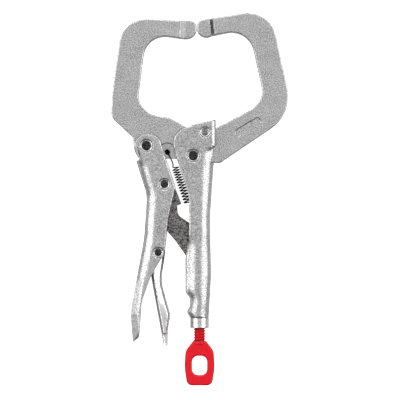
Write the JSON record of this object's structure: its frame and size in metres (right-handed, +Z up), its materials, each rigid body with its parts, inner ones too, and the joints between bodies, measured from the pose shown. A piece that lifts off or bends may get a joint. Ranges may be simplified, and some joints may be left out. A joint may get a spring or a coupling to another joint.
{
  "type": "locking c-clamp pliers",
  "caption": "Locking pliers with two large C-shaped jaws, channel handles, a toggle link, release lever, tension spring and a red adjusting screw with an eye.",
  "frame": {"origin": "axis of the jaw pivot, in the plane that the handle cheeks rest on", "axes": "the tool lies on its side: +Y from the adjusting screw to the jaw tips, +X from the moving jaw to the fixed jaw, +Z up through the handles' width"},
  "size_m": [0.1332, 0.2801, 0.018],
  "materials": {
    "plated_steel": "satin plated, fine mottled grain",
    "bright_steel": "bright plated",
    "dark_forging": "dark speckled forging",
    "black_oxide": "black oxide",
    "spring_steel": "blackened wire",
    "red_coat": "semi-gloss red"
  },
  "bodies": {
    "fixed_handle": {"fixed_handle": "plated_steel", "fixed_jaw": "plated_steel", "screw_collar": "bright_steel", "jaw_pivot_rivet": "black_oxide", "fixed_jaw_rivet": "black_oxide", "tension_spring": "spring_steel"},
    "moving_jaw": {"moving_jaw": "plated_steel"},
    "moving_handle": {"moving_handle": "plated_steel", "handle_pivot_rivet": "black_oxide", "link_pivot_rivet": "black_oxide", "lever_pivot_rivet": "black_oxide"},
    "toggle_link": {"toggle_link": "dark_forging"},
    "release_lever": {"release_lever": "bright_steel"},
    "screw_core": {"screw_tip": "bright_steel"},
    "screw": {"adjusting_screw": "red_coat"}
  },
  "joints": [
    {"name": "jaw_open", "type": "hinge", "parent": "fixed_handle", "child": "moving_jaw", "pos_m": [0, 0, 0.009], "axis": [0, 0, 1], "range_deg": [0, 20], "deforming": ["tension_spring"]},
    {"name": "handle_swing", "type": "hinge", "parent": "moving_jaw", "child": "moving_handle", "pos_m": [-0.0352, 0.0075, 0.009], "axis": [0, 0, 1], "range_deg": [-58, 0]},
    {"name": "link_swing", "type": "hinge", "parent": "moving_handle", "child": "toggle_link", "pos_m": [-0.0217, -0.0213, 0.009], "axis": [0, 0, 1], "range_deg": [0, 61]},
    {"name": "lever_squeeze", "type": "hinge", "parent": "moving_handle", "child": "release_lever", "pos_m": [-0.0264, -0.0726, 0.009], "axis": [0, 0, 1], "range_deg": [-12, 0]},
    {"name": "screw_travel", "type": "slide", "parent": "fixed_handle", "child": "screw_core", "axis": [0, 1, 0], "range_m": [-0.024, 0]},
    {"name": "screw_turn", "type": "hinge", "parent": "screw_core", "child": "screw", "pos_m": [0.0047, -0.12, 0.009], "axis": [0, 1, 0], "range_deg": [-4320, 0]}
  ],
  "couplings": [
    {"joint": "handle_swing", "follows": "jaw_open", "ratio": -2.9},
    {"joint": "link_swing", "follows": "jaw_open", "ratio": 3.05},
    {"joint": "screw_turn", "follows": "screw_travel", "rad_per_m": 3141.6}
  ]
}
